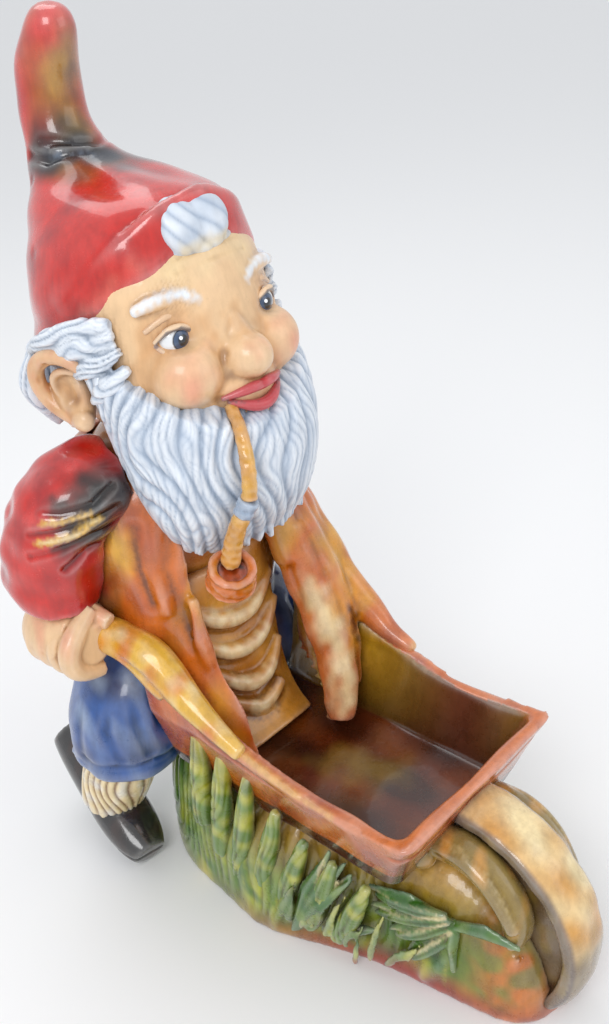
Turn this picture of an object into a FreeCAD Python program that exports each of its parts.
import FreeCAD, Part

import math
import os

from FreeCAD import Vector

# A garden gnome pushing a wheelbarrow: a hollow slip-cast figure whose castings are stuck together with slip.
# Millimetres, +Z up, the gnome looks along -Y and his left hand is on +X.
# The origin is on the ground, under the middle of the cast mound that carries the barrow.

# ---------------------------------------------------------------- driving dimensions
# mound under the barrow
bed_height = 95.0  # ground to the bed that the tray lies on
mound_wall = 8.0
mound_half_width = 76.0
mound_front = 196.0  # from the origin forwards to the toe of the bank round the wheel
mound_back = 124.0
vent_radius = 12.0  # firing vent, which a ground spike fits
vent_y = 30.0

# barrow
tray_half_width = 77.0  # outside, at the rim
tray_bottom_half_width = 59.0
tray_front = 113.0  # outside foot of the front board, forwards of the origin
tray_back = 82.0  # where the open back ends under the coat, behind the origin
tray_depth = 58.0  # bed to the rim of the front board
tray_rise = 50.0  # how much higher the side boards are at the back
tray_rake = 25.0  # how far the front board leans forwards over its depth
tray_wall = 9.0
tray_floor = 9.0
tray_corner = 9.0
handle_radius = 12.0
hand_x = 98.0  # middle of the right fist
hand_y = 120.0
hand_z = 214.0
left_hand_in = 13.0  # how much nearer the body and lower the left fist is
left_hand_down = 9.0

wheel_radius = 83.0
wheel_half_width = 18.0
wheel_tyre = 12.0  # depth of the tyre outside the sunk side of the wheel
wheel_recess = 6.0
wheel_y = -132.0
wheel_z = 55.0  # less than its radius, because the wheel is cast sunk in the bank
wheel_sink = 8.0  # ground level to the flat that the wheel is cast on
fork_half_width = 11.0
fork_half_thickness = 11.5

# figure
waist_height = 195.0
torso_height = 143.0  # waist to collar
torso_half_width = 70.0
torso_half_depth = 58.0
figure_y = 120.0  # the figure's own axis, behind the origin
wall = 7.0  # thickness of the cast shells
coat_thickness = 8.0
coat_gap_right = 46.0  # from the middle to the edge of each front of the open coat
coat_gap_left = 28.0
apron_half_thickness = 7.0

cuff_height = 91.0  # ground to the cuffs of the breeches
leg_radius = 39.0
leg_x = 70.0
leg_y = 132.0
stocking_radius = 25.0
shoe_half_width = 20.0
heel_lift = 48.0  # how far the back foot's heel is off the ground

head_half_width = 66.0
head_half_depth = 61.0
head_height = 150.0  # collar to crown
head_y = 97.0
beard_length = 96.0  # mouth to the beard's lower edge
beard_half_width = 63.0
ear_height = 40.0
hair_thickness = 6.0

hat_rise = 166.0  # middle of the brim to the tip
hat_half_width = 66.0
hat_half_length = 77.0
hat_wall = 7.0
brim_tilt = 36.0  # degrees, high over the forehead and low at the nape
tip_radius = 19.0

pipe_stem_radius = 4.0
pipe_bowl_radius = 15.0
pipe_bowl_height = 24.0
pipe_bore_radius = 9.5
tobacco_depth = 3.0

# ---------------------------------------------------------------- levels worked out from them
floor_top = bed_height + tray_floor
rim_height = bed_height + tray_depth
collar_height = waist_height + torso_height
mouth_height = collar_height + 30.0
brim_height = collar_height + 77.0
overrun = 2.0  # how far a cutting solid runs past the face that it opens

X_DIR = Vector(1, 0, 0)
Y_DIR = Vector(0, 1, 0)
Z_DIR = Vector(0, 0, 1)


# ---------------------------------------------------------------- shapes
def closed_curve(points):
    """A smooth closed wire through the points."""
    curve = Part.BSplineCurve()
    curve.interpolate(Points=points, PeriodicFlag=True)
    return Part.Wire([curve.toShape()])


def oval(centre, half_a, half_b, a_dir=X_DIR, b_dir=Y_DIR, boxiness=2.0, count=8):
    """A closed outline round a centre. Boxiness 2 is an ellipse, and more is squarer."""
    points = []
    for i in range(count):
        turn = 2 * math.pi * i / count
        c, s = math.cos(turn), math.sin(turn)
        along_a = half_a * math.copysign(abs(c) ** (2 / boxiness), c)
        along_b = half_b * math.copysign(abs(s) ** (2 / boxiness), s)
        points.append(centre + a_dir * along_a + b_dir * along_b)
    return closed_curve(points)


def skin(wires, ruled=False):
    """The solid that runs through a row of closed wires."""
    return Part.makeLoft(wires, True, ruled)


def stack(rings, grow=0.0, boxiness=2.0):
    """A solid through level ovals. Each ring is (z, y, half width, half depth)."""
    wires = []
    for z, y, a, b in rings:
        wires.append(oval(Vector(0, y, z), a + grow, b + grow, X_DIR, Y_DIR, boxiness))
    return skin(wires)


def cast_shell(rings, thickness, boxiness=2.0):
    """A stack with a wall of one thickness, open at both ends."""
    inner = [list(ring) for ring in rings]
    inner[0][0] -= overrun
    inner[-1][0] += overrun
    return stack(rings, 0.0, boxiness).cut(stack(inner, -thickness, boxiness))


def frames(points, side):
    """At each point of a bent line, two directions that are square to the line."""
    found = []
    last = len(points) - 1
    for i in range(len(points)):
        ahead = points[min(i + 1, last)] - points[max(i - 1, 0)]
        ahead.normalize()
        across = side - ahead * side.dot(ahead)
        across.normalize()
        found.append((across, ahead.cross(across)))
    return found


def limb(stations, side=X_DIR):
    """A solid along a bent line. Each station is (point, half width along side, half height)."""
    squares = frames([s[0] for s in stations], side)
    wires = [oval(p, a, b, *square) for (p, a, b), square in zip(stations, squares)]
    return skin(wires)


def round_limb(points, radii, side=X_DIR):
    """A limb with a round section."""
    return limb([(p, r, r) for p, r in zip(points, radii)], side)


def leaf(stations, side):
    """A limb with a diamond section and sharp edges, for grass and leaves."""
    squares = frames([s[0] for s in stations], side)
    wires = []
    for (p, a, b), (across, up) in zip(stations, squares):
        corners = [p + across * a, p + up * b, p - across * a, p - up * b]
        wires.append(Part.makePolygon(corners + corners[:1]))
    return skin(wires, True)


def ball(centre, rx, ry, rz):
    """An ellipsoid."""
    unit = Part.makeSphere(1.0)
    squash = FreeCAD.Matrix(rx, 0, 0, centre.x, 0, ry, 0, centre.y, 0, 0, rz, centre.z)
    return unit.transformGeometry(squash)


def mirrored(shape):
    """The same piece for the other side of the object."""
    return shape.mirror(Vector(0, 0, 0), X_DIR)


def below(z, size=900.0):
    """A block that fills everything under a level."""
    return Part.makeBox(size, size, size, Vector(-size / 2, -size / 2, z - size))


# ---------------------------------------------------------------- barrow
def make_wheel():
    """A cart wheel with a rounded tread and sunk sides, cast flat where it is buried in the bank."""
    inside = wheel_half_width - wheel_recess
    tyre_in = wheel_radius - wheel_tyre
    shoulder = wheel_radius - wheel_half_width * 0.25
    profile = [(0.0, inside), (tyre_in, inside), (tyre_in, wheel_half_width)]
    profile.append((shoulder, wheel_half_width))
    side = [Vector(half, wheel_y, wheel_z + r) for r, half in profile]
    other = [Vector(-p.x, p.y, p.z) for p in reversed(side)]
    crown = Vector(0, wheel_y, wheel_z + wheel_radius)
    edges = [Part.LineSegment(a, b).toShape() for a, b in zip(side, side[1:])]
    edges.append(Part.Arc(side[-1], crown, other[0]).toShape())
    edges += [Part.LineSegment(a, b).toShape() for a, b in zip(other, other[1:])]
    edges.append(Part.LineSegment(other[-1], side[0]).toShape())
    face = Part.Face(Part.Wire(edges))
    wheel = face.revolve(Vector(0, wheel_y, wheel_z), X_DIR, 360)
    return wheel.cut(below(wheel_sink))


def make_right_fork():
    """The curved arm that runs from under the tray round the sunk side of the wheel."""
    x = -(wheel_half_width - wheel_recess) - fork_half_thickness
    reach = wheel_radius - wheel_tyre - fork_half_width
    stations = []
    for degrees, far, size in ((104, 0.97, 1.0), (80, 1.0, 1.0), (54, 0.95, 0.95), (30, 0.86, 0.8), (14, 0.78, 0.5)):
        turn = math.radians(degrees)
        arm = Vector(0, -math.cos(turn), math.sin(turn)) * (reach * far)
        stations.append((Vector(x, wheel_y, wheel_z) + arm, fork_half_thickness, fork_half_width * size))
    return limb(stations)


def tray_outline(z, inset):
    """The tray's rounded rectangle at one level. The boards lean outwards up to the rim's level."""
    share = (z - bed_height) / tray_depth
    flare = tray_half_width - tray_bottom_half_width
    half = tray_bottom_half_width + flare * min(share, 1.0) - inset
    front = -tray_front - tray_rake * share + inset
    corner = tray_corner - inset / 3
    back = tray_back
    bend = corner * (1 - math.sqrt(0.5))
    low, high = front + corner, half - corner
    rows = [
        (Vector(-half, back, z), Vector(-half, low, z)),
        (Vector(-half, low, z), Vector(-half + bend, front + bend, z), Vector(-high, front, z)),
        (Vector(-high, front, z), Vector(high, front, z)),
        (Vector(high, front, z), Vector(half - bend, front + bend, z), Vector(half, low, z)),
        (Vector(half, low, z), Vector(half, back, z)),
        (Vector(half, back, z), Vector(-half, back, z)),
    ]
    edges = [Part.Arc(*row) if len(row) == 3 else Part.LineSegment(*row) for row in rows]
    return Part.Wire([e.toShape() for e in edges])


def tray_block():
    """Everything inside the tray's outer faces, up to above the rim."""
    levels = (bed_height, rim_height, rim_height + tray_rise + 12)
    return skin([tray_outline(z, 0) for z in levels], True)


def make_tray():
    """Floor, front board and two side boards in one casting, open at the back."""
    high = rim_height + tray_rise + 14
    inside = skin([tray_outline(z, tray_wall) for z in (floor_top, rim_height, high)], True)
    inside_back = inside.copy()
    inside_back.translate(Vector(0, overrun, 0))
    front = -tray_front - tray_rake - 40
    rise = tray_rise
    rim = [
        Vector(0, tray_back + overrun, rim_height + rise),
        Vector(0, tray_back * 0.72, rim_height + rise * 0.72),
        Vector(0, tray_back * 0.25, rim_height + rise * 0.32),
        Vector(0, -tray_front * 0.25, rim_height + rise * 0.02),
        Vector(0, -tray_front * 0.75, rim_height - rise * 0.1),
        Vector(0, -tray_front * 1.1, rim_height - rise * 0.02),
        Vector(0, front, rim_height + rise * 0.1),
    ]
    curve = Part.BSplineCurve()
    curve.interpolate(rim)
    top = high + 10
    corners = [rim[-1], Vector(0, front, top), Vector(0, rim[0].y, top), rim[0]]
    closing = [Part.LineSegment(a, b).toShape() for a, b in zip(corners, corners[1:])]
    side = Part.Face(Part.Wire([curve.toShape()] + closing))
    side.translate(Vector(-2 * tray_half_width, 0, 0))
    above_rim = side.extrude(Vector(4 * tray_half_width, 0, 0))
    return tray_block().cut(inside.fuse(inside_back)).cut(above_rim)


def make_handle(fist):
    """The round shaft that leaves the end of the right side board and runs through a fist."""
    rim_x = -tray_half_width + tray_wall / 2
    end = rim_height + tray_rise
    points = [
        Vector(rim_x - 4, tray_back * 0.62, end - 20),
        Vector(rim_x - 6, tray_back * 0.86, end - 3),
        Vector((rim_x + fist.x) / 2 - 2, (tray_back + fist.y) / 2 - 2, fist.z),
        fist + Vector(0, 0, 1),
        fist + Vector(-4, 32, -6),
    ]
    return round_limb(points, [handle_radius * s for s in (0.9, 1.05, 1.0, 0.95, 0.85)])


# ---------------------------------------------------------------- mound and plants
# Upright sections from front to back: how far along, share of the width, share of the height.
MOUND_SHAPE = [
    (-1.0, 0.12, 0.15),
    (-0.97, 0.33, 0.38),
    (-0.89, 0.48, 0.66),
    (-0.76, 0.55, 0.88),
    (-0.60, 0.61, 1.0),
    (-0.44, 0.68, 1.0),
    (-0.25, 0.83, 1.0),
    (-0.06, 1.0, 1.0),
    (0.25, 0.98, 1.0),
    (0.55, 0.92, 1.0),
    (0.82, 0.76, 0.98),
    (1.0, 0.52, 0.88),
]


def mound_y(run):
    """Where a section stands, for a run from -1 at the toe through 0 at the origin to 1 at the back."""
    return run * (mound_front if run < 0 else mound_back)


def mound_width(y):
    """Half the mound's width at the ground, between its sections."""
    for (run_a, wide_a, _), (run_b, wide_b, _) in zip(MOUND_SHAPE, MOUND_SHAPE[1:]):
        start, end = mound_y(run_a), mound_y(run_b)
        if start <= y <= end:
            return mound_half_width * (wide_a + (wide_b - wide_a) * (y - start) / (end - start))
    return mound_half_width * MOUND_SHAPE[-1][1]


def mound_solid(inset, first, last):
    """The mound, or the hollow in it, through some of its sections."""
    wires = []
    for run, wide, tall in MOUND_SHAPE[first:last]:
        half, top = mound_half_width * wide - inset, (bed_height + 3) * tall - inset
        wires.append(oval(Vector(0, mound_y(run), 0), half, top, X_DIR, Z_DIR, 3.2, 16))
    return skin(wires).cut(below(inset))


def make_mound():
    """The hollow support under the tray, solid round the wheel, with the firing vent in its floor."""
    vent = Part.makeCylinder(vent_radius, mound_wall + 2 * overrun, Vector(0, vent_y, -overrun))
    return mound_solid(0, 0, 12).cut(mound_solid(mound_wall, 5, 11)).cut(vent)


def fused(solids):
    """Solids that run into one another, as one casting."""
    return solids[0].multiFuse(solids[1:])


def grass_clump():
    """Upright blades from the foot of the mound to the side board, taller towards the back."""
    blades = []
    for i in range(9):
        share = i / 8
        y = tray_back * 0.95 - share * (tray_back * 0.95 + tray_front * 0.5)
        height = rim_height + tray_rise * 0.35 - share * (tray_depth + tray_rise * 0.35 - 26)
        foot = Vector(-mound_width(y) + 0.6, y, 3)
        tip = Vector(-tray_half_width - 3 + 10 * share, y - 18 + 5 * (i % 3), height)
        middle = (foot + tip) * 0.5 + Vector(-1.5, 4, 0)
        stations = [(foot, 9.0, 5.0), (middle, 10.5, 6.0), (tip, 2.5, 2.5)]
        blades.append(leaf(stations, Y_DIR))
    return blades


def leaf_clump():
    """Arching leaves that fan out of the bank beside the wheel, and one that curls up by the fork."""
    blades = []
    base = Vector(-mound_half_width * 0.52, wheel_y - 10, wheel_z + 12)
    tips = ((58, 6, -12), (56, -8, -13), (44, -24, -11), (32, -38, -8), (-2, -36, -6), (-44, 6, 5))
    for along, up, out in tips:
        tip = base + Vector(out, along, up)
        middle = (base + tip) * 0.5 + Vector(-2, 0, 6)
        blades.append(leaf([(base, 4.0, 4.5), (middle, 7.0, 4.0), (tip, 1.5, 2.0)], Z_DIR))
    low = Vector(-mound_width(-tray_front * 0.25) + 1, -tray_front * 0.25, 10)
    for along, up in ((-50, 72), (-46, 84), (-34, 86)):
        tip = low + Vector(8, along, up)
        middle = (low + tip) * 0.5 + Vector(-4, 0, 4)
        blades.append(leaf([(low, 4.0, 4.5), (middle, 7.0, 5.0), (tip, 1.5, 2.0)], Y_DIR))
    return blades


# ---------------------------------------------------------------- legs
def make_breeches():
    """Seat and two knee breeches in one hollow casting, open at the waist."""
    w, d = torso_half_width, torso_half_depth
    seat = [
        (waist_height - 66, figure_y + 14, w * 0.72, d * 0.66),
        (waist_height - 30, figure_y + 6, w * 0.98, d * 0.96),
        (waist_height, figure_y + 2, w * 1.0, d * 1.0),
    ]
    line = [
        Vector(-w * 0.6, figure_y + 4, waist_height - 34),
        Vector(-leg_x + 4, leg_y - 12, (waist_height + cuff_height) / 2 - 8),
        Vector(-leg_x, leg_y - 4, cuff_height),
    ]
    sizes = [leg_radius * share for share in (0.95, 1.05, 0.94)]
    leg = round_limb(line, sizes)
    line[-1] = line[-1] + Vector(0, 0, wall)
    hollow = round_limb(line, [size - wall for size in sizes])
    seat_hollow = [list(ring) for ring in seat]
    seat_hollow[0][0] += wall
    seat_hollow[-1][0] += overrun
    outside = stack(seat).fuse(leg).fuse(mirrored(leg))
    inside = stack(seat_hollow, -wall).fuse(hollow).fuse(mirrored(hollow))
    return outside.cut(inside)


def make_shoe(toe, heel):
    """A shoe from the tip of the toe to the heel, cast flat where it stands on the ground."""
    w = shoe_half_width
    shape = ((0.0, 0.62, 0.55), (0.16, 0.95, 0.72), (0.40, 1.02, 0.86), (0.74, 0.92, 0.88), (1.0, 0.74, 0.74))
    stations = [(toe + (heel - toe) * run, w * wide, w * tall) for run, wide, tall in shape]
    return limb(stations).cut(below(0))


def make_stocking(side, ankle):
    """The stocking between a cuff and a shoe."""
    top = Vector(side * leg_x, leg_y - 2, cuff_height + 2)
    return round_limb([top, (top + ankle) * 0.5, ankle], [stocking_radius * k for k in (1.1, 1.05, 0.9)])


# ---------------------------------------------------------------- body
def torso_rings():
    """The shirt's rings from the waist to the collar."""
    w, d, h = torso_half_width, torso_half_depth, torso_height
    return [
        (waist_height, figure_y + 2, w * 1.0, d * 1.0),
        (waist_height + h * 0.32, figure_y, w * 1.03, d * 1.0),
        (waist_height + h * 0.66, figure_y - 2, w * 1.0, d * 0.92),
        (waist_height + h * 0.88, figure_y - 4, w * 0.80, d * 0.75),
        (waist_height + h, figure_y - 8, w * 0.55, d * 0.58),
    ]


def coat_rings():
    """The coat's rings from its skirts on the tray's floor to just under the collar."""
    w, d, h = torso_half_width, torso_half_depth, torso_height
    return [
        (floor_top, figure_y - 32, w * 0.96, d + 22),
        (floor_top + 46, figure_y - 30, w * 1.04, d + 30),
        (waist_height, figure_y - 14, w * 1.08, d + 20),
        (waist_height + h * 0.35, figure_y - 6, w * 1.12, d + 12),
        (waist_height + h * 0.70, figure_y - 5, w * 1.08, d + 5),
        (waist_height + h * 0.92, figure_y - 6, w * 0.82, d * 0.84),
    ]


def make_coat():
    """An open coat: full round the body above the waist, and two front skirts that hang into the tray."""
    coat = cast_shell(coat_rings(), coat_thickness, 2.5)
    rear = 400.0
    leg_room = Part.makeBox(rear, rear, waist_height, Vector(-rear / 2, figure_y - torso_half_depth * 0.8, 0))
    gap = coat_gap_right + coat_gap_left
    opening = Part.makeBox(gap, figure_y + 60, collar_height, Vector(-coat_gap_right, -60, 0))
    return coat.cut(leg_room).cut(opening)


def make_apron():
    """The folded front that fills the coat's opening and curls out over the tray's floor."""
    front = figure_y - torso_half_depth
    middle = (coat_gap_left - coat_gap_right) / 2
    half = (coat_gap_left + coat_gap_right) / 2
    line = [
        (front + 3, waist_height + 50),
        (front, waist_height + 8),
        (front - 2, (waist_height + floor_top) / 2 + 8),
        (front - 12, floor_top + 20),
        (front - 28, floor_top + 4),
    ]
    return limb([(Vector(middle, y, z), half + 2, apron_half_thickness) for y, z in line])


def make_sleeve(fist):
    """The hollow right sleeve from the shoulder over the bent elbow to a fist."""
    shoulder = collar_height - 25
    points = [
        Vector(-torso_half_width * 0.72, figure_y - 15, shoulder + 2),
        Vector(-torso_half_width - 12, figure_y - 8, shoulder - 5),
        Vector(min(fist.x + 4, -torso_half_width - 15), fist.y + 4, (shoulder + fist.z) / 2 + 16),
        fist + Vector(-2, 3, 22),
    ]
    radii = [28, 33, 34, 25]
    outer = round_limb(points, radii, Y_DIR)
    points[-1] = points[-1] + (points[-2] - points[-1]) * 0.3
    inner = round_limb(points, [r - wall for r in radii], Y_DIR)
    return outer.cut(inner)


def make_hand(fist):
    """The fist round the handle."""
    shape = ((-27, 13), (-14, 23), (4, 26), (20, 23), (29, 14))
    middle = fist + Vector(-2, 0, 1)
    return limb([(middle + Vector(0, along, 0), r, r) for along, r in shape])


# ---------------------------------------------------------------- head
def make_head():
    """Neck, skull, cheeks and nose in one hollow casting."""
    w, d, h = head_half_width, head_half_depth, head_height
    rings = [
        (collar_height - 12, head_y + 8, w * 0.48, d * 0.60),
        (collar_height + 4, head_y - 2, w * 0.66, d * 0.90),
        (collar_height + h * 0.20, head_y - 3, w * 0.92, d * 1.14),
        (collar_height + h * 0.37, head_y - 1, w * 1.0, d * 1.12),
        (collar_height + h * 0.54, head_y, w * 1.0, d * 1.03),
        (collar_height + h * 0.72, head_y + 2, w * 0.92, d * 0.94),
        (collar_height + h * 0.88, head_y + 6, w * 0.68, d * 0.70),
        (collar_height + h * 0.97, head_y + 10, w * 0.34, d * 0.36),
    ]
    skull = stack(rings)
    hollow = [list(ring) for ring in rings]
    hollow[0][0] -= overrun
    hollow[-1][0] -= wall
    face_z = collar_height + h * 0.37
    front = head_y - d * 1.12
    nose = ball(Vector(0, front - 3, face_z), 14, 17, 13)
    cheek = ball(Vector(-w * 0.5, front + 14, face_z - 4), 20, 20, 19)
    solid = skull.fuse(nose).fuse(cheek).fuse(mirrored(cheek))
    return solid.cut(stack(hollow, -wall))


def make_right_ear():
    """The big round ear, set back behind the cheek."""
    half = ear_height / 2
    middle = Vector(-head_half_width - 4, head_y + 8, collar_height + head_height * 0.24)
    lean = Vector(0, 5, half * 0.78)
    stations = [
        (middle - lean, 6, half * 0.45),
        (middle - lean * 0.3, 9, half * 0.72),
        (middle + lean * 0.4, 9, half * 0.80),
        (middle + lean * 1.05, 6, half * 0.55),
    ]
    return limb(stations)


def make_beard():
    """The full beard from ear to ear, as one thick relief in front of the chest."""
    w, low = beard_half_width, mouth_height - beard_length
    rings = [
        (low, 50, w * 0.74, 24),
        (low + beard_length * 0.22, 52, w * 0.94, 40),
        (low + beard_length * 0.55, 57, w * 1.07, 54),
        (low + beard_length * 0.90, 64, w * 1.14, 55),
        (low + beard_length * 1.30, 86, w * 1.16, 36),
    ]
    room = 300.0
    above = Part.makeBox(room, room, room, Vector(-room / 2, -room / 2, 0))
    above.rotate(Vector(0, 0, 0), X_DIR, 32)
    above.translate(Vector(0, 10, mouth_height - 10))
    return stack(rings).cut(above)


def hat_stations(grow):
    """The hat's ovals from the brim to the tip: centre, half width, half length and tilt in degrees."""
    w, d = hat_half_width, hat_half_length
    r = tip_radius
    table = [
        (head_y + 17, 0.00, w, d, brim_tilt),
        (head_y + 19, 0.13, w * 1.03, d * 0.94, brim_tilt * 0.92),
        (head_y + 27, 0.26, w * 0.93, d * 0.79, brim_tilt * 0.72),
        (head_y + 41, 0.37, w * 0.71, d * 0.56, brim_tilt * 0.5),
        (head_y + 58, 0.455, w * 0.48, d * 0.38, brim_tilt * 0.36),
        (head_y + 70, 0.55, w * 0.345, d * 0.29, brim_tilt * 0.2),
        (head_y + 71, 0.80, r * 0.97, r * 0.97, -8),
        (head_y + 64, 0.90, r * 0.86, r * 0.86, -14),
        (head_y + 59, 0.97, r * 0.64, r * 0.64, -18),
        (head_y + 57, 1.00, r * 0.30, r * 0.30, -18),
    ]
    return [
        (Vector(0, y, brim_height + hat_rise * share), a + grow, b + grow, tilt)
        for y, share, a, b, tilt in table
    ]


def make_hat():
    """A tall cap: a full crown over the head, drawn in and up to a curled, rounded peak."""

    def wires(stations):
        found = []
        for centre, half_width, half_length, tilt in stations:
            turn = math.radians(tilt)
            back = Vector(0, math.cos(turn), -math.sin(turn))
            found.append(oval(centre, half_width, half_length, X_DIR, back))
        return found

    outside = skin(wires(hat_stations(0)))
    inner = hat_stations(-hat_wall)[:6]
    first = inner[0]
    turn = math.radians(brim_tilt)
    down = Vector(0, -math.sin(turn), -math.cos(turn)) * overrun
    inner[0] = (first[0] + down, first[1], first[2], first[3])
    return outside.cut(skin(wires(inner)))


def make_hair():
    """Side and back hair between the ears, the collar and the hat."""
    low, high = collar_height + 2, collar_height + head_height * 0.5
    w, d = head_half_width + hair_thickness, head_half_depth + hair_thickness
    rings = [
        (low, head_y + 14, w * 0.74, d * 0.84),
        (low + (high - low) * 0.4, head_y + 8, w * 0.96, d * 1.08),
        (high, head_y + 4, w * 1.0, d * 1.06),
    ]
    solid = stack(rings)
    room = 300.0
    face = Part.makeBox(room, room, room, Vector(-room / 2, head_y - 8 - room, low - room / 2))
    return solid.cut(face)


# ---------------------------------------------------------------- pipe
def make_pipe():
    """Stem, ferrule, shank and a bowl that is filled with tobacco to just under its rim."""
    r = pipe_stem_radius
    lip = Vector(-19, 24, mouth_height)
    bend = Vector(-28, 6, mouth_height - 16)
    joint = Vector(-35, 0, mouth_height - 48)
    shank_top = Vector(-38, 4, mouth_height - 58)
    shank_low = Vector(-43, 14, mouth_height - 88)
    stem = round_limb([lip, bend, joint], [r * 0.9, r, r * 1.15])
    ferrule = round_limb([joint, shank_top], [r * 1.6, r * 1.5])
    axis = Vector(-0.15, -0.42, 0.89)
    middle = shank_low + Vector(-1, 2, -16)
    foot = middle - axis * (pipe_bowl_height * 0.5)
    widths = ((0.0, 0.55), (0.25, 0.90), (0.6, 1.0), (1.0, 0.88))
    stations = [(foot + axis * (pipe_bowl_height * s), pipe_bowl_radius * k) for s, k in widths]
    bowl = round_limb([s[0] for s in stations], [s[1] for s in stations])
    start = foot + axis * (pipe_bowl_height * 0.3)
    bore = Part.makeCylinder(pipe_bore_radius, pipe_bowl_height, start, axis)
    filled = pipe_bowl_height * 0.7 - tobacco_depth
    tobacco = Part.makeCylinder(pipe_bore_radius, filled, start, axis)
    shank = round_limb([shank_top, shank_low, middle], [r * 1.3, r * 1.5, r * 1.7])
    return {
        "pipe_stem": stem,
        "pipe_ferrule": cut_by(ferrule, stem),
        "pipe_bowl": bowl.cut(bore),
        "pipe_tobacco": tobacco,
        "pipe_shank": cut_by(shank, ferrule, bowl),
    }


# ---------------------------------------------------------------- assembly
def cut_by(shape, *tools):
    """The shape without its neighbours' space, so that they meet face to face, and without loose crumbs."""
    for tool in tools:
        if shape.BoundBox.intersect(tool.BoundBox):
            shape = shape.cut(tool)
    return max(shape.Solids, key=lambda solid: solid.Volume)


def build():
    """Every piece by its name. A piece is trimmed by those that it is stuck to."""
    made = {}

    def both(name, right):
        """Keep the right-hand piece and its mirror image, and return the two."""
        made["right_" + name] = right
        made["left_" + name] = mirrored(right)
        return [right, made["left_" + name]]

    tray = made["barrow_tray"] = make_tray()
    tray_space = tray_block()
    wheel_space = cut_by(make_wheel(), tray_space)
    forks = both("fork_arm", cut_by(make_right_fork(), tray_space, wheel_space))
    wheel = made["barrow_wheel"] = wheel_space

    shoe = made["right_shoe"] = make_shoe(
        Vector(-leg_x - 18, leg_y - 30, 13), Vector(-leg_x, leg_y + 74, 16 + heel_lift)
    )
    left_shoe = made["left_shoe"] = make_shoe(
        Vector(leg_x + 10, leg_y - 58, 11), Vector(leg_x, leg_y + 40, 15)
    )
    mound = made["ground_mound"] = cut_by(
        make_mound(), wheel, *forks, tray_space, shoe, left_shoe
    )

    torso_block = stack(torso_rings())
    made["shirt"] = cast_shell(torso_rings(), wall)
    coat = made["coat"] = cut_by(make_coat(), torso_block, tray)
    apron = made["apron"] = cut_by(make_apron(), torso_block, coat, tray)
    breeches = made["breeches"] = cut_by(make_breeches(), mound, tray, coat, apron)
    right_ankle = Vector(-leg_x - 12, leg_y + 16, 38)
    left_ankle = Vector(leg_x + 2, leg_y + 10, 26)
    made["right_stocking"] = cut_by(make_stocking(-1, right_ankle), shoe, breeches, mound)
    made["left_stocking"] = cut_by(make_stocking(1, left_ankle), left_shoe, breeches, mound)

    right_fist = Vector(-hand_x, hand_y, hand_z)
    left_fist = right_fist + Vector(left_hand_in, 0, -left_hand_down)
    for side, fist, turned in (("right_", right_fist, Part.Shape.copy), ("left_", left_fist, mirrored)):
        handle = made[side + "handle"] = cut_by(turned(make_handle(fist)), tray, coat)
        hand = made[side + "hand"] = cut_by(turned(make_hand(fist)), handle, coat, breeches)
        sleeve = turned(make_sleeve(fist))
        made[side + "sleeve"] = cut_by(sleeve, torso_block, coat, hand, handle, breeches)

    hat = made["hat"] = make_hat()
    head = made["head"] = cut_by(make_head(), torso_block, hat)
    ears = both("ear", cut_by(make_right_ear(), head, hat))
    hair = made["hair"] = cut_by(make_hair(), head, hat, *ears, torso_block, coat)
    pipe = make_pipe()
    pipe["pipe_stem"] = cut_by(pipe["pipe_stem"], head)
    pipe["pipe_bowl"] = cut_by(pipe["pipe_bowl"], coat, apron, torso_block)
    made.update(pipe)
    beard_room = [head, torso_block, coat, apron, hat, hair, *ears, *pipe.values()]
    made["beard"] = cut_by(make_beard(), *beard_room)
    for side in ("right_sleeve", "left_sleeve"):
        made[side] = cut_by(made[side], made["beard"], hair)

    plants_room = [mound, tray_space, wheel, *forks, breeches]
    for name, clump in (("grass", grass_clump()), ("leaves", leaf_clump())):
        both(name, fused([cut_by(blade, *plants_room) for blade in clump]))
    return made


os.makedirs("parts", exist_ok=True)
for name, shape in build().items():
    shape.exportStep("parts/" + name + ".step")
    print(name, len(shape.Solids), round(shape.Volume / 1000, 1), shape.isValid())
